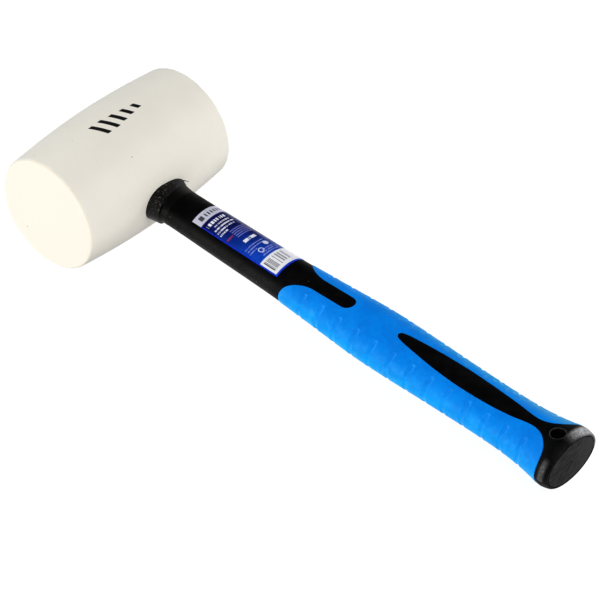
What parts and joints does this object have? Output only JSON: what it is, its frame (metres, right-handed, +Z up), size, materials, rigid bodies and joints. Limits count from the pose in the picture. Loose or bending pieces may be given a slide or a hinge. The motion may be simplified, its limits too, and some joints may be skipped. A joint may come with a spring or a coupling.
{
  "type": "rubber mallet",
  "caption": "Rubber mallet with a white barrel head, black moulded handle with a fibreglass core, soft blue grip and a hanging hole in the flared butt.",
  "frame": {"origin": "on the ground under the middle of the mallet's box, the mallet lying on its side", "axes": "+X towards the butt of the handle, +Y along the head towards its second striking face, +Z up; the handle leans down to the butt"},
  "size_m": [0.3528, 0.1076, 0.072],
  "materials": {
    "white_rubber": "matte",
    "black_plastic": "satin",
    "blue_grip": "satin",
    "collar_rubber": "matte",
    "label_film": "gloss",
    "plug_plastic": "matte",
    "fibreglass": "satin",
    "wedge_steel": "satin",
    "resin": "satin"
  },
  "bodies": {
    "root": {"head": "white_rubber", "handle_jacket": "black_plastic", "grip_sleeve": "blue_grip", "neck_collar": "collar_rubber", "handle_label": "label_film", "butt_plug": "plug_plastic", "handle_core": "fibreglass", "tenon_wedge": "wedge_steel", "eye_bond": "resin"}
  },
  "joints": []
}
